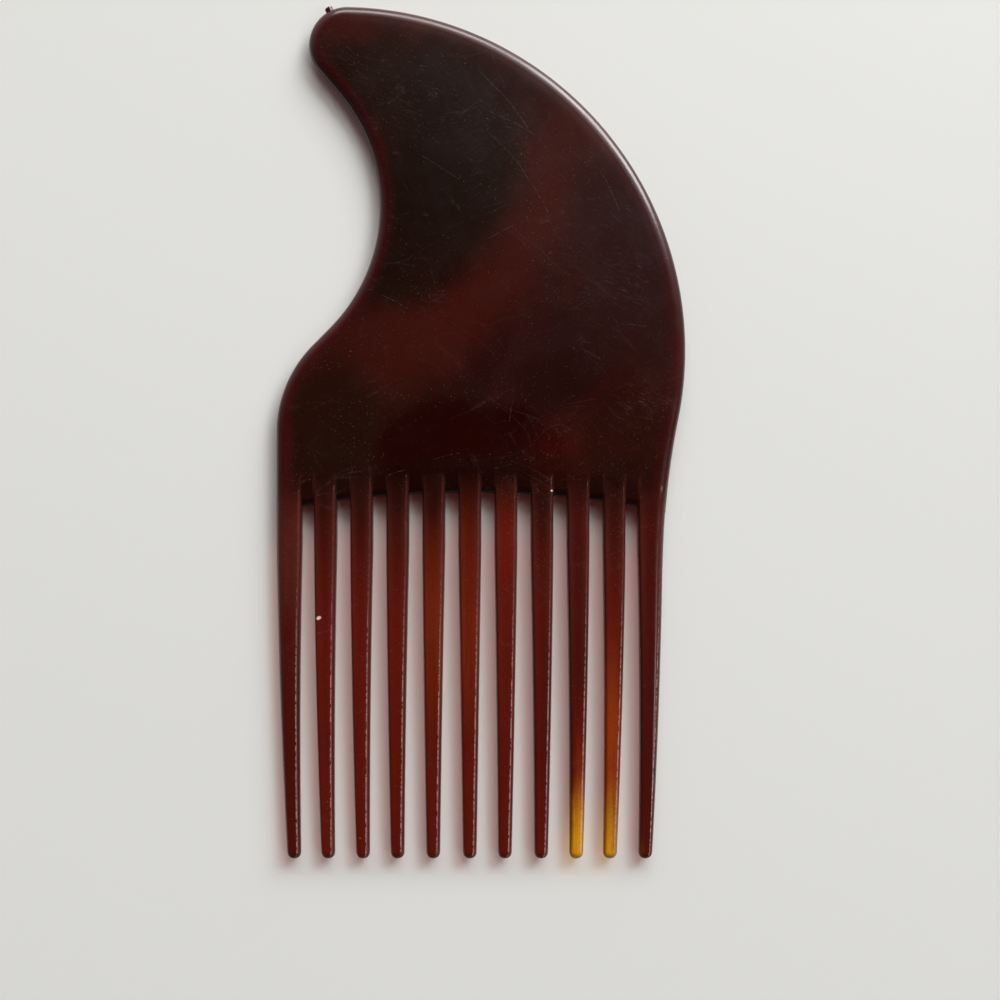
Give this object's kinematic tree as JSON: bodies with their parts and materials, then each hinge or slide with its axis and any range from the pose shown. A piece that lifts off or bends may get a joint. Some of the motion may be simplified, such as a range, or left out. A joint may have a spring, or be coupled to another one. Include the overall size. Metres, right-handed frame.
{
  "type": "hair pick",
  "caption": "Flat moulded plastic hair pick in a dark tortoiseshell colour, with a hooked fin-shaped grip, a hollow for a finger and long tapered teeth.",
  "frame": {"origin": "middle of the length and width, on the back face that it rests on", "axes": "+Y from the tips of the teeth to the top of the grip, +X across the teeth away from the finger hollow, +Z out of the front face"},
  "size_m": [0.072, 0.15, 0.003],
  "materials": {
    "tortoiseshell_plastic": "worn satin gloss in dark brown, burgundy and amber patches, a little translucent where it is thin"
  },
  "bodies": {
    "root": {"grip": "tortoiseshell_plastic", "teeth": "tortoiseshell_plastic"}
  },
  "joints": []
}
